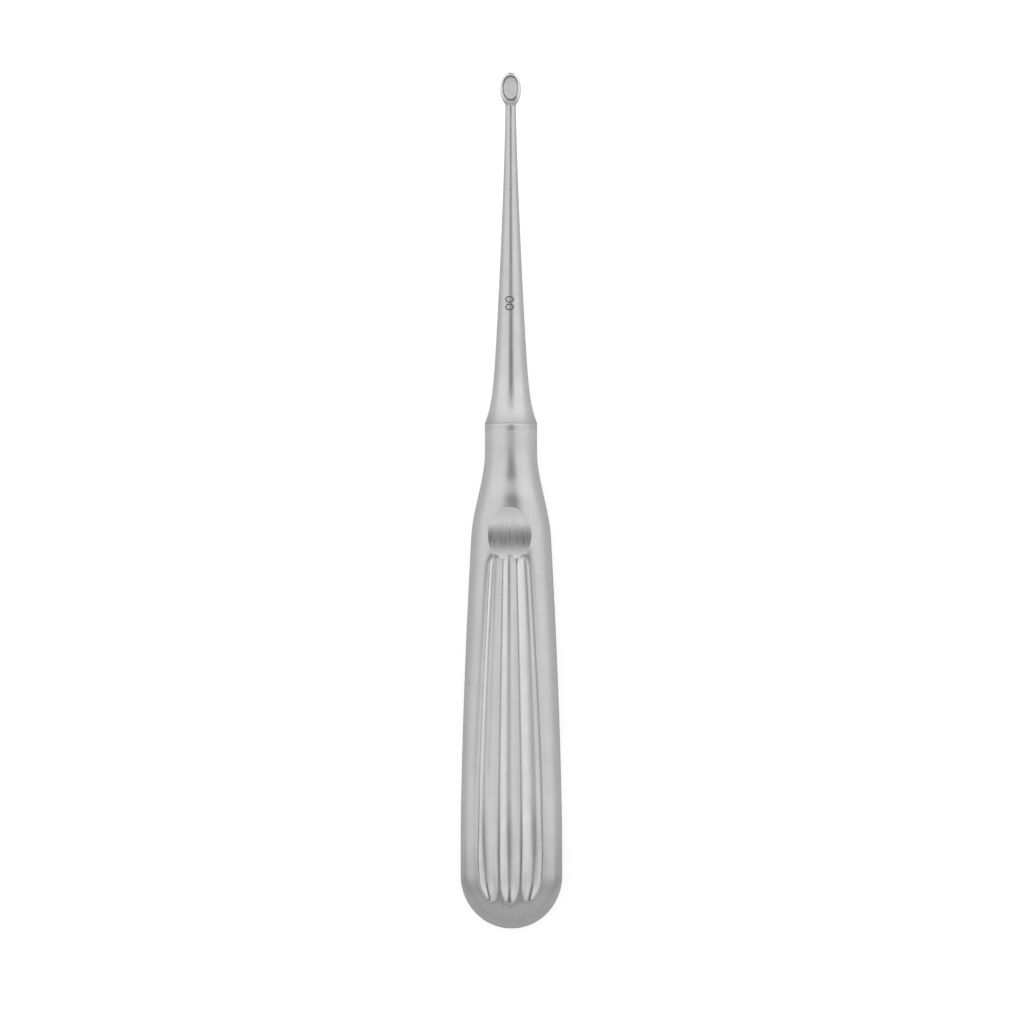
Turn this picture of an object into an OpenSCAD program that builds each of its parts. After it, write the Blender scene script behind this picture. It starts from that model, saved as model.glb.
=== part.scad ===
/* [Overall] */
// Length from the round butt to the tip of the cup
overall_l = 170.5; // [155:0.5:210]
// Length of the handle, from the butt to the seam where the shaft is joined
handle_l = 100.6; // [97.6:0.5:110.6]

/* [Grip] */
// Greatest width of the grip
grip_w = 20.2; // [18:0.1:24]
// Thickness of the grip, front ridges to back ridges
grip_t = 12; // [11:0.1:15]
// Length over which the butt is rounded
butt_l = 10.5; // [8:0.5:14]
// Distance from the butt to the widest place
wide_s = 16; // [14:0.5:24]
// Distance from the butt to the place where the shoulders begin
waist_s = 78; // [70:0.5:84]
// Width where the shoulders begin
waist_w = 15.9; // [14:0.1:17.5]
// Distance from the butt to the end of the even thickness
even_s = 85; // [78:0.5:86]
// Length over which the thickness comes down to the neck
thin_l = 6; // [5:0.5:8]
// Squareness of the grip's section, where 2 is an ellipse
grip_n = 3; // [2.4:0.1:3.6]
// Squareness of the section where the shoulders begin
waist_n = 2.24; // [2.1:0.02:2.8]
// Squareness of the section at the butt
butt_n = 2.3; // [2:0.1:3]

/* [Neck] */
// Diameter of the round neck
neck_d = 10.4; // [9.5:0.1:11.4]
// Length of the round neck
neck_l = 5.6; // [3.6:0.5:7.6]

/* [Flutes] */
// Depth of each flute where the grip is widest
flute_depth = 0.56; // [0.3:0.02:0.8]
// How much deeper a flute is near its low end
low_extra = 0.46; // [0:0.02:0.5]
// Share of a flute's half width that is its round floor, where the rest is the round crest
floor_share = 0.6; // [0.5:0.02:0.8]
// Squareness of a flute's floor, where 2 is a parabola
floor_n = 2.4; // [2:0.1:3]
// Distance from the butt to the low end of the middle flute
flute_low = 4.4; // [3.5:0.1:7]
// How much further up the outer flutes begin
outer_up = 0.9; // [0:0.1:2]
// Distance from the butt to the top of the middle flute
flute_top = 75; // [60:0.2:76]
// Length of the rounded low ends of the flutes
low_tip_l = 4.6; // [3:0.1:6]
// How far a flute's floor rises where it runs out at the low end
low_rise = 0.2; // [0.1:0.02:0.5]
// Length of the rounded top ends of the flutes
top_tip_l = 2.8; // [2.2:0.1:6]
// Width of the plain rail beside the flutes at the grip
rail_w = 3.3; // [2.6:0.1:4.5]
// Width of the same rail at the top of the flutes
rail_top_w = 4; // [3.6:0.1:5]
// How much wider the rail becomes beside the low ends
rail_butt_w = 0.9; // [0:0.1:1.5]
// Width of the flat left on the crest between two flutes
crest_w = 0.12; // [0.08:0.02:0.4]

/* [Thumb rest] */
// Distance from the butt to the middle of the thumb rest
rest_s = 78.8; // [70:0.1:83]
// Depth of the hollow below the front of the handle
rest_depth = 0.76; // [0.4:0.02:1.2]
// Radius of the wheel that ground the hollow
rest_r = 18; // [12:0.2:26]

/* [Shaft] */
// Diameter of the shaft just below the cup
shaft_tip_d = 2.12; // [1.8:0.02:2.8]
// Diameter that the long taper would reach at the seam
shaft_root_d = 7.7; // [6:0.1:9]
// Length over which the root flares out to the neck
flare_l = 3.6; // [2:0.1:6]
// Straight land beside the seam
land_l = 0.1; // [0.05:0.05:1]
// Power of the long taper, where 1 is a straight cone
taper_n = 1.35; // [1:0.05:1.8]
// Diameter of the tang inside the neck
tang_d = 5; // [3:0.1:6.5]
// Length of the tang
tang_l = 14; // [8:0.5:20]
// Brazed gap round the tang
braze_gap = 0.05; // [0.02:0.01:0.15]
// Room left below the end of the tang
socket_spare = 0.5; // [0.2:0.1:2]

/* [Cup] */
// Width of the cup
cup_w = 4.1; // [3.6:0.05:5]
// Length of the cup from its widest place to the tip
cup_front_l = 3.4; // [3:0.05:4.5]
// Length of the cup from its widest place back to the shaft
cup_back_l = 3.35; // [3:0.05:4.5]
// Height of the rim above the axis of the shaft
rim_h = 1.25; // [1.1:0.01:1.5]
// Depth of the bowl's outside below the axis
bowl_h = 1.3; // [1.2:0.01:1.8]
// Height of the tip above the axis
tip_h = 0.65; // [0.3:0.01:1]
// Width of the hollow at the rim
hollow_w = 3.2; // [2.6:0.02:3.4]
// Length of the hollow at the rim
hollow_l = 4.9; // [4:0.05:5.2]
// Depth of the hollow below the rim
hollow_depth = 1.4; // [1.2:0.05:1.9]
// Squareness of the hollow's depth, where 2 is an ellipse
hollow_n = 4; // [2:0.1:5]
// How far the middle of the hollow lies beyond the widest place
hollow_ahead = 0.4; // [0:0.05:0.6]
// Squareness of the cup's upper half, which makes the bevelled rim round the hollow
top_n = 5; // [4:0.25:7]

/* [Hidden] */
$fn = 96;

neck_r = neck_d / 2;
neck_s = handle_l - neck_l;
// The shoulders end this much above the neck, so that the neck leaves through a flat ring
neck_step = 0.03;
neck_root = 0.5;
cut_room = 1;
front_power = 1.6;
shoulder_slope = front_power * (grip_w - waist_w) / 2 / (waist_s - wide_s);

cup_s = overall_l - cup_front_l;
taper_l = cup_s - cup_back_l - handle_l - land_l;
flare_h = neck_r - shaft_root_d / 2;
cup_blend = 6;
cup_n = 2.2;
rim_n = 4;
rim_rise = 1.2;
top_rise = 1.8;
tang_root = 0.5;
hollow_room = 0.5;

rail_steps = 7;
flute_steps = 8;
side_steps = 9;
bowl_steps = 14;
hollow_steps = 8;
tip_share = 0.12;
rail_even_s = 30;
rise_s = 8.6;
rise_l = 3;
low_fade_l = 1.2;
top_fade_l = 1.8;
extra_l = 16;
outer_short = 0.3;
wide_field = grip_w / 2 - rail_w;
hollow_plan_n = 2.3;
thin_s = min(even_s, neck_s - thin_l);

function mix(a, b, t) = a + (b - a) * t;
function held(t) = min(1, max(0, t));
function eased(t) = let (u = held(t)) u * u * (3 - 2 * u);
function arch(t, n = 2) = pow(max(0, 1 - pow(held(t), n)), 1 / n);

// Cubic from (a, ya) with slope sa to (b, yb) with slope zero
function cubic(s, a, ya, sa, b, yb) =
    let (l = b - a, t = (s - a) / l)
    ya * (2 * pow(t, 3) - 3 * t * t + 1) + sa * l * (pow(t, 3) - 2 * t * t + t)
    + yb * (3 * t * t - 2 * pow(t, 3));

// Outline of the handle: half width, half thickness and squareness at each distance from the butt
function butt_end(s) = s < butt_l ? arch((butt_l - s) / butt_l) : 1;
function plain_half_w(s) =
    s <= wide_s ? grip_w / 2
    : s <= waist_s
        ? mix(grip_w, waist_w, pow((s - wide_s) / (waist_s - wide_s), front_power)) / 2
    : cubic(s, waist_s, waist_w / 2, -shoulder_slope, neck_s, neck_r + neck_step);
function half_w(s) = plain_half_w(s) * butt_end(s);
function half_t(s) =
    mix(grip_t / 2, neck_r + neck_step, eased((s - thin_s) / thin_l)) * butt_end(s);
function section_n(s) =
    s < wide_s ? mix(butt_n, grip_n, eased(s / wide_s))
    : s < even_s ? mix(grip_n, waist_n, eased((s - wide_s) / (waist_s - wide_s)))
    : mix(waist_n, 2, eased((s - even_s) / (neck_s - even_s)));

// Height of the plain section at x
function crown(s, x) = half_t(s) * arch(abs(x) / half_w(s), section_n(s));

// Width of the rail beside the flutes, and half the width of the fluted field
function rail(s) =
    mix(rail_w, rail_top_w, held((s - rail_even_s) / (flute_top - rail_even_s)))
    + rail_butt_w * pow(held((wide_s - s) / butt_l), 1.5);
function field(s) = (plain_half_w(s) - rail(s)) * butt_end(s);

// Distance from a flute's low end, and to its top end
function from_low(s, i) = s - flute_low - outer_up * abs(i);
function to_top(s, i) = flute_top - outer_short * abs(i) - s;

// Share of its full width that a flute has, 0 outside its ends
function flute_share(s, i) =
    from_low(s, i) <= 0 || to_top(s, i) <= 0 ? 0
    : min(arch(1 - from_low(s, i) / low_tip_l), arch(1 - to_top(s, i) / top_tip_l));

// Depth of a flute: shallower where the field is narrower, and deeper near the low end
function full_d(s, i) =
    flute_depth * min(1, field(s) / wide_field / butt_end(s))
    + low_extra * (1 - eased(from_low(s, i) / extra_l));

// At the low end the floor stays level while the butt falls away round it, then rises and runs out
function flute_d(s, i) =
    max(0, full_d(s, i) - grip_t / 2 * (1 - butt_end(s))
        - low_rise * pow(held((rise_s + outer_up * abs(i) - s) / rise_l), 1.5))
    * eased(from_low(s, i) / low_fade_l) * eased(to_top(s, i) / top_fade_l);

// Beyond the ends of a flute its lines spread out again over the plain surface
function flute_spread(s, i) =
    max(tip_share, flute_share(s, i), held(-from_low(s, i) / low_tip_l), held(-to_top(s, i) / top_tip_l));

// Height across a flute, 0 on its floor and 1 on the crest: a round floor runs into a round crest
wave_slope = floor_n * pow(floor_share, floor_n - 1);
floor_rise = 1 / (pow(floor_share, floor_n) + wave_slope * (1 - floor_share) / 2);
crest_fall = floor_rise * wave_slope / 2 / (1 - floor_share);
function wave(u) = u < floor_share ? floor_rise * pow(u, floor_n) : 1 - crest_fall * pow(1 - u, 2);

function flute_point(s, i, v) =
    let (pitch = 2 * field(s) / 3)
    let (x = -i * pitch + v * (pitch - crest_w * butt_end(s)) / 2 * flute_spread(s, i))
    [x, crown(s, x) - flute_d(s, i) * (1 - wave(abs(v)))];

// The plain rail from the side of the handle to the outer crest, closer together at the side
function rail_points(s) =
    let (w = half_w(s), n = section_n(s), last = acos(pow(field(s) / w, n / 2)))
    [for (k = [0:rail_steps])
        let (a = last * pow(k / rail_steps, n / 2))
        [w * pow(cos(a), 2 / n), half_t(s) * pow(sin(a), 2 / n)]];

// The front of a section, from the +X side to the -X side
function front_points(s) =
    let (side = rail_points(s))
    concat(
        side,
        [for (i = [-1:1], k = [flute_steps:-2:-flute_steps]) flute_point(s, i, k / flute_steps)],
        [for (k = [rail_steps:-1:0]) [-side[k][0], side[k][1]]]
    );

// A full section: the front, and the same form on the back without the two side points
function handle_ring(s) =
    let (front = front_points(s), last = len(front) - 1)
    concat(
        [for (p = front) [p[0], s, p[1]]],
        [for (k = [last - 1:-1:1]) [front[k][0], s, -front[k][1]]]
    );

// Stations along the handle, close together at the butt and at the ends of the flutes
butt_rows = [for (a = [10:10:50]) butt_l * (1 - cos(a)) * flute_low / (butt_l * (1 - cos(55)))];
low_rows = [for (k = [0:13]) flute_low + (outer_up + low_tip_l + 0.4) * k / 13];
top_rows = [for (k = [0:11]) flute_top - top_tip_l - 0.3 + (top_tip_l + 0.9) * k / 11];
grip_rows = [for (k = [1:8]) mix(low_rows[13], top_rows[0], k / 9)];
neck_rows = [for (k = [1:8]) mix(top_rows[11], neck_s, k / 8)];
handle_rows = concat(butt_rows, low_rows, grip_rows, top_rows, neck_rows);

// The handle lies on the plain part of its back, between the flutes and the shoulders
axis_z = grip_t / 2;

// Outline of the shaft and the cup
function shaft_r(s) =
    let (x = max(0, s - handle_l - land_l))
    shaft_tip_d / 2
    + (shaft_root_d - shaft_tip_d) / 2 * pow(held(1 - x / taper_l), taper_n)
    + flare_h * exp(-x / flare_l);
function blend_r(a, b) = pow(pow(a, cup_blend) + pow(b, cup_blend), 1 / cup_blend);
function cup_back(s) = s >= cup_s ? 1 : arch((cup_s - s) / cup_back_l);
function cup_front(s, n = cup_n) = s <= cup_s ? 1 : arch((s - cup_s) / cup_front_l, n);
function cup_half_w(s) = blend_r(shaft_r(s), cup_w / 2 * cup_back(s)) * cup_front(s);
function cup_low(s) = blend_r(shaft_r(s), bowl_h * cup_back(s)) * cup_front(s);
// Height of the cup's widest line, which climbs to the tip
function cup_mid(s) = tip_h * pow(held((s - cup_s) / cup_front_l), 2);
function cup_top(s) =
    cup_mid(s)
    + (mix(shaft_r(s), rim_h, eased((s - cup_s + cup_back_l) / rim_rise)) - cup_mid(s))
    * cup_front(s, rim_n);

// A section of the shaft or the cup: over the top from side to side, then the round underside
function shaft_ring(s) =
    let (w = cup_half_w(s), top = cup_top(s) - cup_mid(s), low = cup_low(s))
    let (n = mix(2, top_n, eased((s - cup_s + cup_back_l) / top_rise)))
    let (side = [for (k = [0:side_steps])
        let (a = 90 * k / side_steps)
        [w * pow(cos(a), 2 / n), top * pow(sin(a), 2 / n)]])
    concat(
        [for (p = side) [p[0], s, cup_mid(s) + p[1]]],
        [for (k = [side_steps - 1:-1:0]) [-side[k][0], s, cup_mid(s) + side[k][1]]],
        [for (k = [1:bowl_steps - 1])
            let (a = 180 * k / bowl_steps)
            [-w * cos(a), s, cup_mid(s) - low * sin(a)]]
    );

// Stations along the shaft, close together at the flare and in the cup
flare_rows = [for (k = [0:9]) handle_l + land_l + 3.4 * flare_l * pow(k / 9, 1.8)];
cup_start = cup_s - cup_back_l - 0.6;
shaft_rows = concat(
    [handle_l],
    flare_rows,
    [for (k = [1:9]) mix(flare_rows[9], cup_start, k / 10)],
    [for (k = [0:13]) mix(cup_start, cup_s, k / 14)],
    [for (a = [0:7:84]) cup_s + cup_front_l * sin(a)]
);

// A solid through a row of sections, closed at each end by a point
module loft(rings, first, last) {
    n = len(rings[0]);
    rows = len(rings);
    pts = concat([first], [for (r = rings, p = r) p], [last]);
    polyhedron(
        points = pts,
        faces = concat(
            [for (j = [0:n - 1]) [0, 1 + (j + 1) % n, 1 + j]],
            [for (i = [0:rows - 2], j = [0:n - 1], half = [0, 1])
                let (a = 1 + i * n + j, b = 1 + i * n + (j + 1) % n)
                half == 0 ? [a, b, b + n] : [a, b + n, a + n]],
            [for (j = [0:n - 1])
                [rows * n + 1, 1 + (rows - 1) * n + j, 1 + (rows - 1) * n + (j + 1) % n]]
        ),
        convexity = 6
    );
}

// A round bar along the handle, from one distance from the butt to another
module bar(r, from, to) {
    translate([0, from, 0]) rotate([-90, 0, 0]) cylinder(r = r, h = to - from);
}

// From distances along the axis to the part's own frame
module placed() {
    translate([0, -overall_l / 2, axis_z]) children();
}

module thumb_rest_cut() {
    translate([0, rest_s, half_t(rest_s) - rest_depth + rest_r])
        rotate([0, 90, 0])
        cylinder(r = rest_r, h = grip_w + cut_room, center = true);
}

module handle() {
    color([0.76, 0.76, 0.75])
    placed()
    difference() {
        union() {
            loft([for (s = handle_rows) handle_ring(s)], [0, 0, 0], [0, neck_s, 0]);
            bar(neck_r, neck_s - neck_root, handle_l);
        }
        thumb_rest_cut();
        bar(tang_d / 2 + braze_gap, handle_l - tang_l - socket_spare, handle_l + cut_room);
    }
}

// The hollow's oval, at a share of its full size and at a height above the rim
function signed_pow(t) = sign(t) * pow(abs(t), 2 / hollow_plan_n);
function hollow_ring(share, z) = [for (a = [0:10:350])
    [hollow_w / 2 * share * signed_pow(cos(a)), hollow_l / 2 * share * signed_pow(sin(a)), z]];

module hollow_cut() {
    translate([0, cup_s + hollow_ahead, rim_h])
        loft(
            concat(
                [hollow_ring(1, hollow_room)],
                [for (k = [0:hollow_steps])
                    let (a = 90 * k / (hollow_steps + 1))
                    hollow_ring(pow(cos(a), 2 / hollow_n), -hollow_depth * pow(sin(a), 2 / hollow_n))]
            ),
            [0, 0, hollow_room],
            [0, 0, -hollow_depth]
        );
}

module shaft() {
    color([0.78, 0.78, 0.77])
    placed()
    difference() {
        union() {
            loft([for (s = shaft_rows) shaft_ring(s)], [0, handle_l, 0], [0, overall_l, tip_h]);
            bar(tang_d / 2, handle_l - tang_l, handle_l + tang_root);
        }
        hollow_cut();
    }
}

handle();
shaft();
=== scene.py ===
import math

import bmesh
import bpy
import mathutils
import numpy as np
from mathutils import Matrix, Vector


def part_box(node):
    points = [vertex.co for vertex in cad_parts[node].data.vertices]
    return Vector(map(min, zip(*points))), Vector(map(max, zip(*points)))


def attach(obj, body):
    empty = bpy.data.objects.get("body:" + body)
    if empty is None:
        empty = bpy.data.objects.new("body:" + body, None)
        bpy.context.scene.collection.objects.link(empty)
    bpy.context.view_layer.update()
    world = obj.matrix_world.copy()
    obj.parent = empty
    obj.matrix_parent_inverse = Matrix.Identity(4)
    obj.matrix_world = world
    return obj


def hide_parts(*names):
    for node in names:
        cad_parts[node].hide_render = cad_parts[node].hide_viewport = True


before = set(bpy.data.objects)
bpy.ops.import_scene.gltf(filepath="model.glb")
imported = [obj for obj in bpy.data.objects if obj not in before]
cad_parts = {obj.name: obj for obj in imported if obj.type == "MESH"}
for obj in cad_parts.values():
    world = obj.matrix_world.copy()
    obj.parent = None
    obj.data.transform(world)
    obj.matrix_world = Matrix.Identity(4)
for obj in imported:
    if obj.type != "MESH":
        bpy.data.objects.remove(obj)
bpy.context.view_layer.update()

millimetre = 0.001
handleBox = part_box("handle")
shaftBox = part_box("shaft")
buttY = handleBox[0].y / millimetre
overallLength = (shaftBox[1].y - handleBox[0].y) / millimetre
seamStation = (handleBox[1].y - handleBox[0].y) / millimetre
axisHeight = (handleBox[0].z + handleBox[1].z) / 2 / millimetre
print("stage: frame loaded, length", round(overallLength, 2), "seam at", round(seamStation, 2))

# sizes in millimetres, stations counted from the round butt
handleValues = {
    "gripWidth": 20.2, "gripThickness": 12.0, "buttLength": 10.5, "wideStation": 16.0,
    "waistStation": 78.0, "waistWidth": 15.9, "evenStation": 85.0, "thinLength": 6.0,
    "gripSquareness": 3.0, "waistSquareness": 2.24, "buttSquareness": 2.3, "frontPower": 1.6,
    "neckRadius": 5.2, "neckLength": 5.6, "seamChamfer": 0.05,
    "fluteDepth": 0.56, "lowExtra": 0.46,
    "lowRise": 0.2, "riseStation": 8.6, "riseLength": 3.0, "risePower": 1.5,
    "floorShare": 0.6, "floorPower": 2.4, "fluteLow": 4.4, "outerUp": 0.9, "fluteTop": 75.0, "outerShort": 0.3,
    "leastHalf": 0.02,
    "lowTip": 4.6, "topTip": 2.8, "lowFade": 1.2, "topFade": 0.8, "extraLength": 16.0,
    "railWidth": 3.3, "railTopWidth": 4.0, "railButtWidth": 0.9, "railButtPower": 1.5, "railEvenStation": 30.0,
    "restStation": 78.8, "restDepth": 0.76, "restRadius": 18.0, "restColumns": 900, "restReach": 0.6,
    "socketRadius": 2.55, "socketLength": 14.5,
    "railColumns": 22, "fieldColumns": 84, "ringCounts": (22, 52, 60, 48, 44), "firstRing": 0.06,
    "buttTurn": 0.9, "tipRoom": 0.5, "topRoom": 0.3,
}

shaftValues = {
    "tipRadius": 1.06, "rootRadius": 3.85, "neckRadius": 5.2, "flareLength": 3.6,
    "landLength": 0.1, "taperPower": 1.35, "seamChamfer": 0.05,
    "tangRadius": 2.5, "tangLength": 14.0,
    "cupHalfWidth": 2.05, "cupFront": 3.4, "cupBack": 3.35, "cupBlend": 6.0, "cupPower": 2.2,
    "rimHeight": 1.25, "rimRise": 1.2, "rimPower": 4.0, "bowlHeight": 1.3, "tipHeight": 0.65,
    "topPower": 5.0, "topRise": 1.8,
    "hollowWidth": 3.2, "hollowLength": 4.9, "hollowDepth": 1.4, "hollowAhead": 0.4,
    "hollowPower": 4.0, "hollowPlanPower": 2.3, "hollowRoom": 0.5, "hollowColumns": 160, "hollowRings": 48,
    "hollowTurn": 0.995, "sideColumns": 36, "underColumns": 56, "ringCounts": (40, 60, 60, 64),
    "cupRoom": 0.6, "flareReach": 3.4, "flareSpacing": 1.6,
}

markValues = {
    "stations": (123.74, 125.26), "halfAcross": 0.88, "halfAlong": 0.68, "stroke": 0.24,
    "centreX": -0.12, "roundness": 1.9, "lift": 0.006, "sink": 0.03, "columns": 96,
}


def held(t):
    return np.clip(t, 0.0, 1.0)


def eased(t):
    # three t squared minus two t cubed, held between 0 and 1
    u = held(t)
    return u * u * (3 - 2 * u)


def mixed(a, b, t):
    return a + (b - a) * t


def arch(t, power=2.0):
    # one minus t to the power, and the root of that: a quarter of a superellipse
    return np.maximum(0.0, 1 - held(t) ** power) ** (1 / power)


def pieceFromFaces(name, points, faces):
    # an object in the scene with all its faces turned outwards
    mesh = bpy.data.meshes.new(name)
    mesh.from_pydata(points.tolist(), [], faces)
    work = bmesh.new()
    work.from_mesh(mesh)
    bmesh.ops.recalc_face_normals(work, faces=work.faces)
    work.to_mesh(mesh)
    work.free()
    piece = bpy.data.objects.new(name, mesh)
    bpy.context.scene.collection.objects.link(piece)
    return piece


def meshFromRings(name, rings, firstPole, lastPole):
    # closed rings of equal length joined by quads, and a fan to a point at each end
    rows, columns = rings.shape[:2]
    points = np.concatenate([rings.reshape(-1, 3), [firstPole, lastPole]])
    i, j = np.meshgrid(np.arange(rows - 1), np.arange(columns), indexing="ij")
    nextJ = (j + 1) % columns
    quads = np.stack([i * columns + j, i * columns + nextJ,
                      (i + 1) * columns + nextJ, (i + 1) * columns + j], axis=-1).reshape(-1, 4)
    edge = np.arange(columns)
    nextEdge = (edge + 1) % columns
    last = (rows - 1) * columns
    startFan = np.stack([np.full(columns, rows * columns), nextEdge, edge], axis=-1)
    endFan = np.stack([np.full(columns, rows * columns + 1), last + edge, last + nextEdge], axis=-1)
    piece = pieceFromFaces(name, points, quads.tolist() + startFan.tolist() + endFan.tolist())
    piece.data.shade_smooth()
    return piece


def inFrame(station, x, z):
    # from a station along the axis, with x and z about the axis, to metres in the frame
    station, x, z = np.broadcast_arrays(station, x, z)
    return np.stack([x, buttY + station, axisHeight + z], axis=-1) * millimetre


def cutPiece(piece, cutter):
    # takes the cutter's shape out of the piece, with the cutter's material and a sharp edge on the cut
    cut = piece.modifiers.new("cut", "BOOLEAN")
    cut.operation = "DIFFERENCE"
    cut.solver = "EXACT"
    cut.material_mode = "TRANSFER"
    cut.object = cutter
    dg = bpy.context.evaluated_depsgraph_get()
    result = bpy.data.meshes.new_from_object(piece.evaluated_get(dg))
    piece.modifiers.clear()
    piece.data = result
    bpy.data.objects.remove(cutter)
    work = bmesh.new()
    work.from_mesh(result)
    for edge in work.edges:
        if len({face.material_index for face in edge.link_faces}) > 1:
            edge.smooth = False
    openEdges = sum(1 for edge in work.edges if len(edge.link_faces) != 2)
    work.to_mesh(result)
    work.free()
    print("stage: cut", piece.name, "polygons", len(result.polygons), "open edges", openEdges)


# handle: outline, thickness and squareness along the axis
def handleOutline(s, v):
    buttRound = np.where(s < v["buttLength"], arch((v["buttLength"] - s) / v["buttLength"]), 1.0)
    neckStation = seamStation - v["neckLength"]
    slope = (-v["frontPower"] * (v["gripWidth"] - v["waistWidth"]) / 2
             / (v["waistStation"] - v["wideStation"]))
    front = held((s - v["wideStation"]) / (v["waistStation"] - v["wideStation"]))
    belly = mixed(v["gripWidth"], v["waistWidth"], front ** v["frontPower"]) / 2
    # shoulders: a cubic from the waist, with the waist's slope, to the neck with slope zero
    span = neckStation - v["waistStation"]
    t = held((s - v["waistStation"]) / span)
    shoulder = (v["waistWidth"] / 2 * (2 * t ** 3 - 3 * t ** 2 + 1)
                + slope * span * (t ** 3 - 2 * t ** 2 + t)
                + v["neckRadius"] * (3 * t ** 2 - 2 * t ** 3))
    plainWidth = np.where(s <= v["waistStation"], belly, shoulder)
    thickness = mixed(v["gripThickness"] / 2, v["neckRadius"],
                      eased((s - v["evenStation"]) / v["thinLength"]))
    squareness = np.where(
        s < v["wideStation"],
        mixed(v["buttSquareness"], v["gripSquareness"], eased(s / v["wideStation"])),
        np.where(
            s < v["evenStation"],
            mixed(v["gripSquareness"], v["waistSquareness"],
                  eased((s - v["wideStation"]) / (v["waistStation"] - v["wideStation"]))),
            mixed(v["waistSquareness"], 2.0,
                  eased((s - v["evenStation"]) / (neckStation - v["evenStation"])))))
    rail = (mixed(v["railWidth"], v["railTopWidth"],
                  held((s - v["railEvenStation"]) / (v["fluteTop"] - v["railEvenStation"])))
            + v["railButtWidth"] * held((v["wideStation"] - s) / v["buttLength"]) ** v["railButtPower"])
    return plainWidth * buttRound, thickness * buttRound, squareness, (plainWidth - rail) * buttRound, buttRound


def fluteShare(s, side, v):
    # the share of its full width that a flute has: a quarter ellipse at each end
    fromLow = s - v["fluteLow"] - v["outerUp"] * abs(side)
    toTop = v["fluteTop"] - v["outerShort"] * abs(side) - s
    share = np.minimum(arch(1 - fromLow / v["lowTip"]), arch(1 - toTop / v["topTip"]))
    return np.where((fromLow <= 0) | (toTop <= 0), 0.0, share), fromLow, toTop


def fluteCut(s, x, field, buttRound, v):
    # across a flute the height follows the place to the floor's power, then one minus the square
    # of the rest, joined without a step, so a round floor meets round crests; along it the width
    # ends in a quarter ellipse, and the depth follows the root of the field's width; towards the low
    # end the floor stays level while the butt falls away, then it rises by a power and runs out
    pitch = 2 * field / 3
    floor, power = v["floorShare"], v["floorPower"]
    slope = power * floor ** (power - 1)
    rise = 1 / (floor ** power + slope * (1 - floor) / 2)
    fall = rise * slope / 2 / (1 - floor)
    wideField = v["gripWidth"] / 2 - v["railWidth"]
    narrow = np.minimum(1.0, field / wideField / buttRound) ** 0.5
    fallen = v["gripThickness"] / 2 * (1 - buttRound)
    total = np.zeros(np.broadcast(s, x).shape)
    for side in (-1, 0, 1):
        share, fromLow, toTop = fluteShare(s, side, v)
        full = v["fluteDepth"] * narrow + v["lowExtra"] * (1 - eased(fromLow / v["extraLength"]))
        toRise = v["riseStation"] + v["outerUp"] * abs(side) - s
        risen = v["lowRise"] * held(toRise / v["riseLength"]) ** v["risePower"]
        depth = (np.maximum(0.0, full - fallen - risen)
                 * eased(fromLow / v["lowFade"]) * eased(toTop / v["topFade"]))
        u = np.minimum(np.abs(x - side * pitch) / np.maximum(pitch / 2 * share, v["leastHalf"]), 1.0)
        height = np.where(u < floor, rise * u ** power, 1 - fall * (1 - u) ** 2)
        total += depth * (1 - height)
    return total


def handleRings(v):
    low = v["fluteLow"]
    buttTurns = np.linspace(v["firstRing"], 1, v["ringCounts"][0])[:-1] * np.pi / 2 * v["buttTurn"]
    stops = (low, low + v["outerUp"] + v["lowTip"] + v["tipRoom"], v["fluteTop"] - v["topTip"] - v["topRoom"],
             v["fluteTop"] + v["tipRoom"], seamStation - v["seamChamfer"])
    spans = [np.linspace(a, b, count)[:-1] for a, b, count in zip(stops, stops[1:], v["ringCounts"][1:])]
    stations = np.concatenate([
        low * (1 - np.cos(buttTurns)) / (1 - math.cos(math.pi / 2 * v["buttTurn"])), *spans, stops[-1:]])
    s = stations[:, None]
    width, thickness, squareness, field, buttRound = handleOutline(s, v)
    # rail: superellipse from the side up to the outer crest, spaced evenly in height
    railStep = np.linspace(0, 1, v["railColumns"] + 1)[None, :]
    last = np.arccos((field / width) ** (squareness / 2))
    angle = last * railStep ** (squareness / 2)
    railX = width * np.cos(angle) ** (2 / squareness)
    # field: evenly spaced across, on the same superellipse
    fieldX = field * np.linspace(1, -1, v["fieldColumns"] + 1)[None, 1:-1]
    x = np.concatenate([railX, fieldX, -railX[:, ::-1]], axis=1)
    z = thickness * arch(np.abs(x) / width, squareness)
    z = z - fluteCut(s, x, field, buttRound, v)
    front = inFrame(s, x, z)
    back = inFrame(s, x[:, 1:-1], -z[:, 1:-1])[:, ::-1]
    outer = np.concatenate([front, back], axis=1)
    # the neck's end: a small chamfer, the flat face, then the blind socket
    ringX = np.concatenate([x[-1], x[-1, 1:-1][::-1]])
    ringZ = np.concatenate([z[-1], -z[-1, 1:-1][::-1]])
    unit = np.hypot(ringX, ringZ)
    ringX, ringZ = ringX / unit, ringZ / unit
    radii = np.array([v["neckRadius"] - v["seamChamfer"], v["socketRadius"], v["socketRadius"]])[:, None]
    ends = np.array([seamStation, seamStation, seamStation - v["socketLength"]])[:, None]
    inner = inFrame(ends, ringX * radii, ringZ * radii)
    poles = inFrame(np.array([0.0, seamStation - v["socketLength"]]), 0.0, 0.0)
    return np.concatenate([outer, inner]), poles


# painted light and shade for the handle: brightness factors that lighten and darken the flutes' walls, floors,
# crests and edges, the corners by the thumb rest, the butt cap and the flute tips
paintedShadeRoom = 2.0

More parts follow.
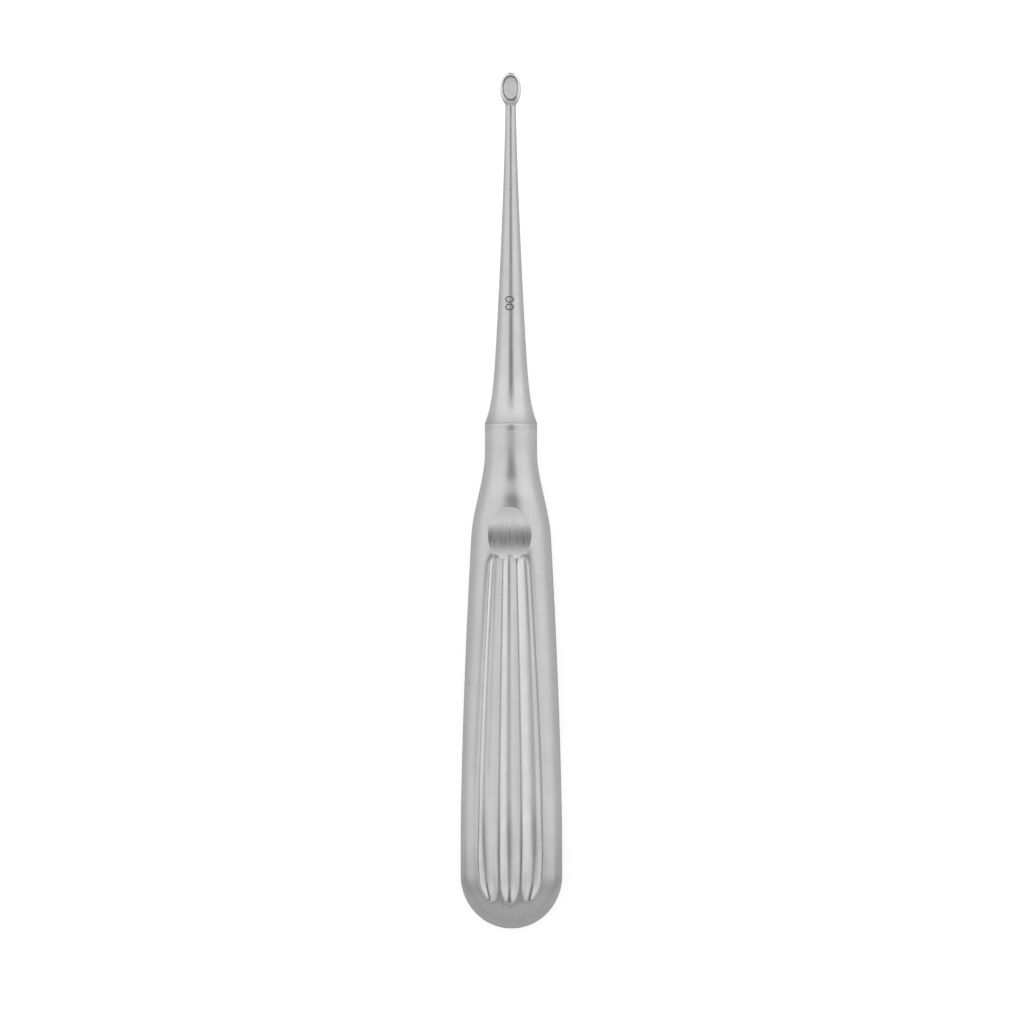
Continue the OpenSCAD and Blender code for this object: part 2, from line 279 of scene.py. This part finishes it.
# each row of factors goes with the row of stations whose name ends in At
paintedShadeValues = {
    "least": 0.01, "most": 1.4,
    "wallFrom": 0.75, "wallLevel": 0.6, "lean": 0.8, "wallAt": (10, 22, 74), "wall": (1.03, 1.16, 1.18),
    "floorShift": 0.12, "floorReach": 0.3,
    "floorAt": (5.0, 6.4, 7.6, 9.4, 15, 19, 22, 26, 56, 66, 74),
    "floor": (1.12, 1.2, 1.1, 0.82, 0.7, 0.82, 1.0, 1.16, 1.2, 1.08, 1.0),
    "leftFrom": -0.12, "leftReach": 0.2, "leftAt": (24, 34, 56), "left": (1.0, 1.1, 1.15),
    "linePlace": 0.06, "lineReach": 0.22, "lineAt": (24, 34, 56, 70), "line": (1.0, 0.86, 0.78, 0.64),
    "rimAway": 0.35, "rimReach": 0.35, "rimAt": (22, 32, 62, 73), "rim": (1.0, 0.82, 0.8, 0.74),
    "crestFrom": 0.72, "crestShare": 0.5,
    "crestAt": (4.4, 5.4, 8, 16, 24, 36), "crest": (1.0, 0.8, 0.64, 0.74, 0.98, 1.1),
    "edgeReach": 0.4, "edgeAt": (8, 12, 24, 52, 68, 75), "edge": (0.9, 0.82, 0.95, 0.97, 0.8, 0.68),
    "cornerX": 3.9, "cornerStation": 74.6, "cornerAcross": 0.5, "cornerAlong": 1.3, "cornerMore": 0.25,
    "cornerAt": (70, 78), "corner": (0.72, 0.72),
    "capAt": (6.6, 8.2, 9.6, 10.4, 11.4, 13.6, 18, 26), "cap": (1.0, 0.86, 0.74, 0.76, 0.83, 0.85, 0.94, 1.0),
    "tipAt": (4.6, 5.8, 6.7, 7.6), "tip": (0.76, 0.85, 0.93, 1.0),
}


def addPaintedShade(piece, rings, handle, v):
    # painted light and shade, as a map of brightness over the handle: a product of masks, each
    # times its own row of factors along the tool; masks are soft steps and bell curves about the
    # walls, floors, crests and outer edges of the flutes, the corners beside the thumb rest and the
    # plain surface, and in the left flute about the outer wall, the rim and a line near the middle;
    # the map holds each factor over the room given above, so that it stays below one
    x = rings[..., 0] / millimetre
    s = rings[..., 1] / millimetre - buttY
    pitch = 2 * handleOutline(s, handle)[3] / 3
    side = np.clip(np.round(x / np.maximum(pitch, v["least"])), -1, 1)
    share = np.where(side == 0, fluteShare(s, 0, handle)[0], fluteShare(s, 1, handle)[0])
    half = np.maximum(pitch / 2 * share, v["least"])
    fluted = share > 0

    def bell(distance, reach):
        return np.exp(-(distance / reach) ** 2)

    lean = np.clip((x - side * pitch) / half, -1, 1)
    shifted = np.abs(x - side * pitch * (1 + v["floorShift"])) / half
    inside = np.where(fluted, 1 - eased((np.abs(lean) - v["wallFrom"]) / (1 - v["wallFrom"])), 0.0)
    crest = np.where(np.abs(x) < pitch, eased((np.abs(lean) - v["crestFrom"]) / (1 - v["crestFrom"])), 0.0)
    outer = np.where(side < 0, inside, 0.0)
    toEdge = np.abs(x) - pitch - half
    corner = np.exp(-((np.abs(x) - v["cornerX"]) / v["cornerAcross"]) ** 2
                    - ((s - v["cornerStation"]) / v["cornerAlong"]) ** 2)
    masks = {
        "wall": inside * (v["wallLevel"] - v["lean"] * lean),
        "floor": inside * bell(shifted, v["floorReach"]),
        "left": outer * eased((v["leftFrom"] - lean) / v["leftReach"]),
        "line": outer * bell(lean - v["linePlace"], v["lineReach"]),
        "rim": np.where((x < 0) & fluted, bell(x + pitch + half + v["rimAway"], v["rimReach"]), 0.0),
        "crest": crest * eased(share / v["crestShare"]),
        "edge": np.where(fluted, bell(toEdge - v["edgeReach"] / 2, v["edgeReach"]), 0.0),
        "corner": corner * (1 + v["cornerMore"] * np.sign(x)),
        "cap": 1 - inside,
    }
    value = np.ones(s.shape)
    for name, mask in masks.items():
        value *= 1 + mask * (np.interp(s, v[name + "At"], v[name]) - 1)
    value *= 1 + inside * (np.interp(s - handle["outerUp"] * np.abs(side), v["tipAt"], v["tip"]) - 1)
    perVertex = np.concatenate([np.minimum(value, v["most"]).reshape(-1), [1.0, 1.0]]) / paintedShadeRoom
    mesh = piece.data
    corners = np.empty(len(mesh.loops), dtype=np.int32)
    mesh.loops.foreach_get("vertex_index", corners)
    layer = mesh.uv_layers.new(name="polish")
    layer.data.foreach_set("uv", np.repeat(perVertex[corners], 2).astype(np.float32))


def makeRestCutter(v, material):
    # a round bar across the handle, whose underside grinds the hollow
    turn = np.linspace(0, 2 * np.pi, v["restColumns"], endpoint=False)
    across = np.array([-v["gripWidth"], v["gripWidth"]]) * v["restReach"]
    crown = float(handleOutline(np.array([v["restStation"]]), v)[1][0])
    centre = crown - v["restDepth"] + v["restRadius"]
    rings = inFrame(v["restStation"] + v["restRadius"] * np.sin(turn)[None, :],
                    across[:, None], centre - v["restRadius"] * np.cos(turn)[None, :])
    poles = inFrame(v["restStation"], across, centre)
    cutter = meshFromRings("restCutter", rings, poles[0], poles[1])
    cutter.data.materials.append(material)
    return cutter


# shaft and cup, as sections across the axis
def shaftRadius(s, v):
    # a long taper to a power, plus a flare that dies away exponentially from the seam
    taperLength = overallLength - v["cupFront"] - v["cupBack"] - seamStation - v["landLength"]
    x = np.maximum(0.0, s - seamStation - v["landLength"])
    return (v["tipRadius"] + (v["rootRadius"] - v["tipRadius"]) * held(1 - x / taperLength) ** v["taperPower"]
            + (v["neckRadius"] - v["rootRadius"]) * np.exp(-x / v["flareLength"]))


def shaftRings(v):
    cupStation = overallLength - v["cupFront"]
    cupStart = cupStation - v["cupBack"] - v["cupRoom"]
    firstLand = seamStation + v["seamChamfer"]
    flareEnd = seamStation + v["landLength"] + v["flareReach"] * v["flareLength"]
    flareRings, taperRings, backRings, frontRings = v["ringCounts"]
    spacing = np.linspace(0, 1, flareRings) ** v["flareSpacing"]
    stations = np.concatenate([
        [firstLand],
        seamStation + v["landLength"] + (flareEnd - seamStation - v["landLength"]) * spacing,
        np.linspace(flareEnd, cupStart, taperRings)[1:-1],
        np.linspace(cupStart, cupStation, backRings)[:-1],
        cupStation + v["cupFront"] * np.sin(np.linspace(0, 1, frontRings)[:-1] * np.pi / 2)])
    s = stations[:, None]
    back = np.where(s >= cupStation, 1.0, arch((cupStation - s) / v["cupBack"]))
    ahead = (s - cupStation) / v["cupFront"]
    front = np.where(s <= cupStation, 1.0, arch(ahead, v["cupPower"]))
    frontTop = np.where(s <= cupStation, 1.0, arch(ahead, v["rimPower"]))
    radius = shaftRadius(s, v)

    def blended(a, b):
        # the larger of two radii, with a soft change from one to the other
        return (a ** v["cupBlend"] + b ** v["cupBlend"]) ** (1 / v["cupBlend"])

    width = blended(radius, v["cupHalfWidth"] * back) * front
    low = blended(radius, v["bowlHeight"] * back) * front
    middle = v["tipHeight"] * held(ahead) ** 2
    rise = mixed(radius, v["rimHeight"], eased((s - cupStation + v["cupBack"]) / v["rimRise"]))
    top = (rise - middle) * frontTop
    power = mixed(2.0, v["topPower"], eased((s - cupStation + v["cupBack"]) / v["topRise"]))
    angle = np.linspace(0, np.pi / 2, v["sideColumns"] + 1)[None, :]
    sideX = width * held(np.cos(angle)) ** (2 / power)
    sideZ = top * np.sin(angle) ** (2 / power)
    under = np.linspace(0, np.pi, v["underColumns"] + 1)[None, 1:-1]
    x = np.concatenate([sideX, -sideX[:, -2::-1], -width * np.cos(under)], axis=1)
    z = middle + np.concatenate([sideZ, sideZ[:, -2::-1], -low * np.sin(under)], axis=1)
    outer = inFrame(s, x, z)
    ringX, ringZ = x[0] / np.hypot(x[0], z[0]), z[0] / np.hypot(x[0], z[0])
    radii = np.array([v["tangRadius"], v["tangRadius"], v["neckRadius"] - v["seamChamfer"]])[:, None]
    ends = np.array([seamStation - v["tangLength"], seamStation, seamStation])[:, None]
    inner = inFrame(ends, ringX * radii, ringZ * radii)
    poles = np.stack([inFrame(seamStation - v["tangLength"], 0.0, 0.0),
                      inFrame(overallLength, 0.0, v["tipHeight"])])
    return np.concatenate([inner, outer]), poles


def makeHollowCutter(v, material):
    # an oval whose size follows the cosine and whose depth follows the sine of one angle, each to
    # the power of two over the squareness; above the rim it goes straight up
    cupStation = overallLength - v["cupFront"]
    power = 2 / v["hollowPower"]
    around = np.linspace(0, 2 * np.pi, v["hollowColumns"], endpoint=False)[None, :]
    tilt = np.linspace(0, v["hollowTurn"], v["hollowRings"])[:, None] * np.pi / 2
    spread = np.concatenate([[[1.0]], np.cos(tilt) ** power])
    height = np.concatenate([[[v["hollowRoom"]]], -v["hollowDepth"] * np.sin(tilt) ** power])
    centre = cupStation + v["hollowAhead"]
    c, s = np.cos(around), np.sin(around)
    plan = 2 / v["hollowPlanPower"]
    rings = inFrame(centre + v["hollowLength"] / 2 * spread * np.sign(s) * np.abs(s) ** plan,
                    v["hollowWidth"] / 2 * spread * np.sign(c) * np.abs(c) ** plan, v["rimHeight"] + height)
    poles = inFrame(centre, 0.0, v["rimHeight"] + np.array([v["hollowRoom"], -v["hollowDepth"]]))
    cutter = meshFromRings("hollowCutter", rings, poles[0], poles[1])
    cutter.data.materials.append(material)
    return cutter


def makeMark(v, shaft, material):
    # two plain zeros on the top of the shaft: each an oval band that follows the round surface
    around = np.linspace(0, 2 * np.pi, v["columns"], endpoint=False)
    c, s = np.cos(around), np.sin(around)
    pieces = []
    for station in v["stations"]:
        loops = []
        for inset, lift in ((0, -v["sink"]), (0, v["lift"]), (1, v["lift"]), (1, -v["sink"])):
            across = v["halfAcross"] - inset * v["stroke"]
            along = v["halfAlong"] - inset * v["stroke"]
            x = v["centreX"] + across * np.sign(c) * np.abs(c) ** (2 / v["roundness"])
            y = station + along * np.sign(s) * np.abs(s) ** (2 / v["roundness"])
            radius = shaftRadius(y, shaft) + lift
            loops.append(inFrame(y, x, np.sqrt(radius ** 2 - x ** 2)))
        pieces.append(np.stack(loops))
    # each loop is joined to the next, and the last to the first
    loopCount, n = pieces[0].shape[:2]
    k, j = np.meshgrid(np.arange(loopCount), np.arange(n), indexing="ij")
    nextK, nextJ = (k + 1) % loopCount, (j + 1) % n
    ring = np.stack([k * n + j, k * n + nextJ, nextK * n + nextJ, nextK * n + j], axis=-1).reshape(-1, 4)
    faces = np.concatenate([ring + loopCount * n * i for i in range(len(pieces))])
    mark = pieceFromFaces("sizeMark", np.concatenate(pieces).reshape(-1, 3), faces.tolist())
    mark.data.materials.append(material)
    return mark


# materials
def fill(tree, node, sockets):
    # each named or numbered socket is set to a value or linked to an output
    for key, value in sockets.items():
        if isinstance(value, bpy.types.NodeSocket):
            tree.links.new(value, node.inputs[key])
        else:
            node.inputs[key].default_value = value
    return node


def addNode(tree, kind, sockets=None, **settings):
    node = tree.nodes.new(kind)
    for key, value in settings.items():
        setattr(node, key, value)
    return fill(tree, node, sockets or {})


def mathNode(tree, operation, *operands):
    return addNode(tree, "ShaderNodeMath", dict(enumerate(operands)), operation=operation).outputs[0]


def addNoise(tree, place, scale, detail):
    noise = addNode(tree, "ShaderNodeTexNoise", {"Vector": place, "Scale": scale, "Detail": detail})
    return noise.outputs["Fac"]


def stepped(tree, source, fromMin, fromMax, toMin, toMax):
    # three t squared minus two t cubed, from one value to another
    return addNode(tree, "ShaderNodeMapRange", {
        "Value": source, "From Min": fromMin, "From Max": fromMax, "To Min": toMin, "To Max": toMax,
    }, interpolation_type="SMOOTHSTEP").outputs[0]


def mixedNode(tree, factor, a, b):
    node = addNode(tree, "ShaderNodeMix", {"Factor": factor, "A": a, "B": b}, data_type="FLOAT")
    return node.outputs["Result"]


def scaledColour(tree, colour, factor):
    node = addNode(tree, "ShaderNodeVectorMath", {0: colour, "Scale": factor}, operation="SCALE")
    return node.outputs["Vector"]


def objectPlace(tree):
    return addNode(tree, "ShaderNodeTexCoord").outputs["Object"]


def splitUp(tree, vector):
    return addNode(tree, "ShaderNodeSeparateXYZ", {0: vector}).outputs


def newMaterial(name):
    material = bpy.data.materials.new(name)
    material.use_nodes = True
    return material, material.node_tree


satinValues = {
    "mottleScale": 260, "mottleDetail": 4, "streakScales": (2600, 90, 2600), "streakDetail": 3,
    "grainScale": 6500, "grainDetail": 2, "pitScale": 1700, "pitDetail": 1, "pitFrom": 0.66, "pitTo": 0.78,
    "pitTone": -0.1, "pitRelief": -1.5, "bumpDistance": 0.00002,
}


def makeSatinGroup(v):
    # satin steel: soft mottling, faint streaks along the tool, fine blasted grain and a few pits
    tree = bpy.data.node_groups.new("satinGrain", "ShaderNodeTree")
    for way, name, kind in (
            ("INPUT", "Tone", "Color"), ("INPUT", "Roughness", "Float"), ("INPUT", "Mottle", "Float"),
            ("INPUT", "Streak", "Float"), ("INPUT", "Grain", "Float"),
            ("OUTPUT", "Color", "Color"), ("OUTPUT", "Roughness", "Float"), ("OUTPUT", "Normal", "Vector")):
        tree.interface.new_socket(name=name, in_out=way, socket_type="NodeSocket" + kind)
    given = addNode(tree, "NodeGroupInput").outputs
    place = objectPlace(tree)
    stretched = addNode(tree, "ShaderNodeMapping", {"Vector": place, "Scale": v["streakScales"]})
    mottle = addNoise(tree, place, v["mottleScale"], v["mottleDetail"])
    streak = addNoise(tree, stretched.outputs["Vector"], 1, v["streakDetail"])
    grain = addNoise(tree, place, v["grainScale"], v["grainDetail"])
    pits = addNode(tree, "ShaderNodeMapRange", {
        "Value": addNoise(tree, place, v["pitScale"], v["pitDetail"]),
        "From Min": v["pitFrom"], "From Max": v["pitTo"]}).outputs["Result"]

    def centred(source, amount):
        return mathNode(tree, "MULTIPLY", mathNode(tree, "SUBTRACT", source, 0.5), amount)

    both = mathNode(tree, "ADD", centred(mottle, given["Mottle"]), centred(streak, given["Streak"]))
    brightness = mathNode(tree, "ADD", mathNode(tree, "MULTIPLY_ADD", pits, v["pitTone"], both), 1.0)
    bump = addNode(tree, "ShaderNodeBump", {
        "Height": mathNode(tree, "MULTIPLY_ADD", pits, v["pitRelief"], grain),
        "Strength": given["Grain"], "Distance": v["bumpDistance"]})
    addNode(tree, "NodeGroupOutput", {
        "Color": scaledColour(tree, given["Tone"], brightness),
        "Roughness": mathNode(tree, "SUBTRACT", given["Roughness"], both), "Normal": bump.outputs["Normal"]})
    return tree


def alongTool(tree, stops):
    # a value that changes along the tool: straight lines between the given stations
    share = addNode(tree, "ShaderNodeMapRange", {
        "Value": splitUp(tree, objectPlace(tree))[1], "From Min": buttY * millimetre,
        "From Max": (buttY + overallLength) * millimetre}).outputs["Result"]
    ramp = addNode(tree, "ShaderNodeValToRGB", {"Fac": share})
    marks = ramp.color_ramp.elements
    while len(marks) < len(stops):
        marks.new(0.5)
    for mark, (station, value) in zip(marks, stops):
        mark.position = station / overallLength
        mark.color = (value, value, value, 1)
    return ramp.outputs["Color"]


def addBand(tree, tone, rough, v):
    # where the braze was polished, a band beside the seam with a ragged lower edge: the height above
    # the edge, moved by noise, is stepped into a mask, and a pale line follows the edge
    place = objectPlace(tree)
    noise = addNoise(tree, place, v["noiseScale"], v["noiseDetail"])
    moved = mathNode(tree, "MULTIPLY", noise, v["ragged"] * millimetre)
    edge = (buttY + seamStation - v["width"] + v["ragged"] / 2) * millimetre
    above = mathNode(tree, "SUBTRACT", mathNode(tree, "ADD", splitUp(tree, place)[1], moved), edge)
    soft = v["soft"] * millimetre
    mask = stepped(tree, above, -soft, soft, 0.0, 1.0)
    line = stepped(tree, mathNode(tree, "ABSOLUTE", above), 0.0, 2 * soft, v["lineGain"], 0.0)
    factor = mathNode(tree, "ADD", stepped(tree, mask, 0.0, 1.0, 1.0, v["tone"]), line)
    return scaledColour(tree, tone, factor), mixedNode(tree, mask, rough, v["roughness"])


def addPatch(tree, tone, v):
    # a spot or a ring round it: the distance from its middle over its half sizes, stepped
    across, along = v["halfAcross"] * millimetre, v["halfAlong"] * millimetre
    fitted = addNode(tree, "ShaderNodeMapping", {
        "Vector": objectPlace(tree), "Scale": (1 / across, 1 / along, 0),
        "Location": (-v["x"] * millimetre / across, -(buttY + v["station"]) * millimetre / along, 0)})
    distance = addNode(tree, "ShaderNodeVectorMath", {0: fitted.outputs["Vector"]}, operation="LENGTH")
    factor = stepped(tree, distance.outputs["Value"], v["from"], v["to"], v["within"], v["beyond"])
    return scaledColour(tree, tone, factor)


def makeSteel(name, group, tone, roughness, mottle, streak, grain, band=None, patch=None, withPaintedShade=False):
    material, tree = newMaterial(name)
    toneSource = alongTool(tree, tone)
    roughSource = alongTool(tree, roughness)
    # the handle's map of painted light and shade, kept as a uv layer, scales the tone
    if withPaintedShade:
        polish = splitUp(tree, addNode(tree, "ShaderNodeUVMap", uv_map="polish").outputs["UV"])[0]
        toneSource = scaledColour(tree, toneSource, mathNode(tree, "MULTIPLY", polish, paintedShadeRoom))
    if band:
        toneSource, roughSource = addBand(tree, toneSource, roughSource, band)
    if patch:
        toneSource = addPatch(tree, toneSource, patch)
    finish = addNode(tree, "ShaderNodeGroup", {
        "Tone": toneSource, "Roughness": roughSource, "Mottle": mottle, "Streak": streak, "Grain": grain,
    }, node_tree=group).outputs
    fill(tree, tree.nodes["Principled BSDF"], {
        "Metallic": 1.0, "Base Color": finish["Color"], "Roughness": finish["Roughness"],
        "Normal": finish["Normal"]})
    return material


inkValues = {"roughness": 0.6, "noiseScale": 7000, "noiseDetail": 2, "tones": (0.06, 0.14)}


def makeInk(v):
    # dark laser mark: matte grey with a little uneven depth
    material, tree = newMaterial("laserMark")
    ramp = addNode(tree, "ShaderNodeValToRGB", {
        "Fac": addNoise(tree, objectPlace(tree), v["noiseScale"], v["noiseDetail"])})
    for mark, tone in zip(ramp.color_ramp.elements, v["tones"]):
        mark.color = (tone, tone, tone, 1)
    fill(tree, tree.nodes["Principled BSDF"], {
        "Roughness": v["roughness"], "Base Color": ramp.outputs["Color"]})
    return material


# each tone and roughness is a row of stations and values along the tool
steelValues = {
    "handle": {
        "tone": [(0, 0.68), (10, 0.66), (60, 0.645), (85, 0.66), (96, 0.68), (99, 0.71), (101, 0.71)],
        "roughness": [(0, 0.27), (14, 0.25), (27, 0.35), (52, 0.35), (66, 0.31), (93, 0.33), (97, 0.44),
                      (101, 0.44)],
        "mottle": 0.10, "streak": 0.08, "grain": 0.22, "withPaintedShade": True,
        "band": {"width": 1.4, "ragged": 2.4, "noiseScale": 500, "noiseDetail": 2, "soft": 0.06, "tone": 0.9,
                 "lineGain": 0.08, "roughness": 0.35},
    },
    "shaft": {
        # the tone rising to 0.9 over the cup is partly a brighter polish and partly a painted highlight on the
        # rim
        "tone": [(100, 0.54), (101.6, 0.60), (103, 0.70), (107.5, 0.71), (112, 0.67), (163.6, 0.66),
                 (165.6, 0.76), (167.4, 0.9), (170.5, 0.9)],
        "roughness": [(100, 0.46), (103, 0.36), (107, 0.30), (118, 0.31), (128, 0.35), (162, 0.33),
                      (165, 0.22)],
        "mottle": 0.14, "streak": 0.08, "grain": 0.16,
        "patch": {"x": 0.2, "station": 170.35, "halfAcross": 0.95, "halfAlong": 0.32,
                  "from": 0.45, "to": 1.2, "within": 0.5, "beyond": 1.0},
    },
    "rest": {
        # the brushing is real; the tone rising over the rest's upper part is a painted sheen, for the brushed
        # steel's spread reflection of the bright sides
        "tone": [(75.5, 0.69), (79, 0.74), (81, 0.92), (84, 0.96)], "roughness": [(75.5, 0.3), (77.5, 0.27)],
        "mottle": 0.04, "streak": 0.2, "grain": 0.1,
    },
    "hollow": {
        "tone": [(165, 0.88), (169.5, 0.98)], "roughness": [(164, 0.75), (170, 0.75)],
        "mottle": 0.10, "streak": 0.0, "grain": 0.4,
        # the patch is painted shade: the ring by the hollow's steep wall, below the rim, at half the tone
        "patch": {"x": 0.0, "station": 167.5, "halfAcross": 1.6, "halfAlong": 2.45,
                  "from": 0.84, "to": 0.95, "within": 1.0, "beyond": 0.5},
    },
}
satinGroup = makeSatinGroup(satinValues)
handleSteel = makeSteel("handleSteel", satinGroup, **steelValues["handle"])
shaftSteel = makeSteel("shaftSteel", satinGroup, **steelValues["shaft"])
restSteel = makeSteel("brushedRest", satinGroup, **steelValues["rest"])
hollowSteel = makeSteel("hollowSteel", satinGroup, **steelValues["hollow"])
inkMaterial = makeInk(inkValues)
print("stage: materials made")

rings, poles = handleRings(handleValues)
handlePiece = meshFromRings("handleForm", rings, poles[0], poles[1])
# the map of painted light and shade, kept on the handle's mesh
addPaintedShade(handlePiece, rings, handleValues, paintedShadeValues)
handlePiece.data.materials.append(handleSteel)
cutPiece(handlePiece, makeRestCutter(handleValues, restSteel))
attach(handlePiece, "root")
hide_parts("handle")

rings, poles = shaftRings(shaftValues)
shaftPiece = meshFromRings("shaftForm", rings, poles[0], poles[1])
shaftPiece.data.materials.append(shaftSteel)
cutPiece(shaftPiece, makeHollowCutter(shaftValues, hollowSteel))
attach(shaftPiece, "root")
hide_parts("shaft")

markPiece = makeMark(markValues, shaftValues, inkMaterial)
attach(markPiece, "root")
print("stage: pieces made")


# camera: down on the tool from a little to its right, with its length up the picture
cameraValues = {
    "distance": 1.0, "pictureWidth": 0.20407, "centreX": 0.00018, "centreY": -0.00227, "sensor": 36.0,
    "aside": 0.055, "roll": -0.001, "clipNear": 0.01, "clipFar": 20.0,
}


def makeCamera(v):
    data = bpy.data.cameras.new("camera")
    data.sensor_width = v["sensor"]
    data.lens = v["sensor"] * v["distance"] / v["pictureWidth"]
    data.clip_start = v["clipNear"]
    data.clip_end = v["clipFar"]
    camera = bpy.data.objects.new("camera", data)
    target = mathutils.Vector((v["centreX"], v["centreY"], axisHeight * millimetre))
    rotation = mathutils.Matrix.Rotation
    turned = rotation(v["aside"], 4, "Y") @ rotation(v["roll"], 4, "Z")
    back = turned @ mathutils.Vector((0, 0, v["distance"]))
    camera.matrix_world = mathutils.Matrix.Translation(target + back) @ turned
    bpy.context.scene.collection.objects.link(camera)
    bpy.context.scene.camera = camera


floorValues = {
    "size": 4.0, "tone": 0.8, "roughness": 0.9, "cameraGlow": 0.56,
    "mirrorTone": 0.86, "dimTone": 0.66, "dimRange": (-0.092, -0.072),
}


def makeFloor(v):
    half = v["size"] / 2
    mesh = bpy.data.meshes.new("floor")
    mesh.from_pydata([(-half, -half, 0), (half, -half, 0), (half, half, 0), (-half, half, 0)],
                     [], [(0, 1, 2, 3)])
    floor = bpy.data.objects.new("floor", mesh)
    bpy.context.scene.collection.objects.link(floor)
    material, tree = newMaterial("paleFloor")
    path = addNode(tree, "ShaderNodeLightPath").outputs
    # the steel sees the floor dimmer beyond the butt, as it sees the tent there
    dim = stepped(tree, splitUp(tree, objectPlace(tree))[1], *v["dimRange"], v["dimTone"], v["mirrorTone"])
    fill(tree, tree.nodes["Principled BSDF"], {
        "Base Color": mixedNode(tree, path["Is Glossy Ray"], v["tone"], dim),
        "Roughness": v["roughness"], "Specular IOR Level": 0.0, "Emission Color": (1, 1, 1, 1),
        "Emission Strength": mathNode(tree, "MULTIPLY", path["Is Camera Ray"], v["cameraGlow"])})
    mesh.materials.append(material)


# each range is in the parts of a direction, from -1 to 1
lightValues = {
    "sideLevel": 0.82, "highLevel": 0.95, "highRange": (0.0, 0.4), "leftShare": 0.95, "leftRange": (-0.5, 0.5),
    "gapLevel": 0.05, "gapHalf": (0.27, 0.29), "gapCentre": (0.06, 0.12), "gapRange": (0.35, 1.5), "below": 10,
    "buttLevel": 0.55, "buttRange": (-0.42, -0.12), "cupLevel": 1.1, "cupRange": (0.12, 0.4),
}


def makeWorld(v):
    # a white tent: pale all round, brightest well up on both sides, with a dim gap overhead
    # round the camera and a dim side beyond the butt
    world = bpy.data.worlds.new("studio")
    world.use_nodes = True
    bpy.context.scene.world = world
    tree = world.node_tree
    x, y, z = splitUp(tree, addNode(tree, "ShaderNodeTexCoord").outputs["Generated"])

    def combine(operation, a, b):
        return mathNode(tree, operation, a, b)

    def graded(source, span, start, end):
        return stepped(tree, source, *span, start, end)

    def squared(source, centre, half):
        return combine("POWER", combine("DIVIDE", combine("SUBTRACT", source, centre), half), 2)

    sided = combine("MULTIPLY", graded(z, v["highRange"], v["sideLevel"], v["highLevel"]),
                    graded(x, v["leftRange"], v["leftShare"], 1.0))
    # the gap: the sum of two squares, each the sine of an angle over the gap's half size, and much
    # more below the level of the floor, so that the gap is only overhead
    across = squared(x, v["gapCentre"][0], v["gapHalf"][0])
    along = squared(y, v["gapCentre"][1], v["gapHalf"][1])
    far = combine("ADD", combine("ADD", across, along),
                  combine("MULTIPLY", combine("LESS_THAN", z, 0), v["below"]))
    gap = graded(far, v["gapRange"], v["gapLevel"], 1.0)
    ends = combine("MULTIPLY", graded(y, v["buttRange"], v["buttLevel"], 1.0),
                   graded(y, v["cupRange"], 1.0, v["cupLevel"]))
    level = combine("MULTIPLY", combine("MULTIPLY", sided, gap), ends)
    path = addNode(tree, "ShaderNodeLightPath").outputs
    fill(tree, tree.nodes["Background"], {
        "Color": (1, 1, 1, 1), "Strength": mixedNode(tree, path["Is Camera Ray"], level, 1.0)})


makeCamera(cameraValues)
makeFloor(floorValues)
makeWorld(lightValues)
bpy.context.scene.view_settings.view_transform = "Standard"
print("stage: camera, floor and lights made")
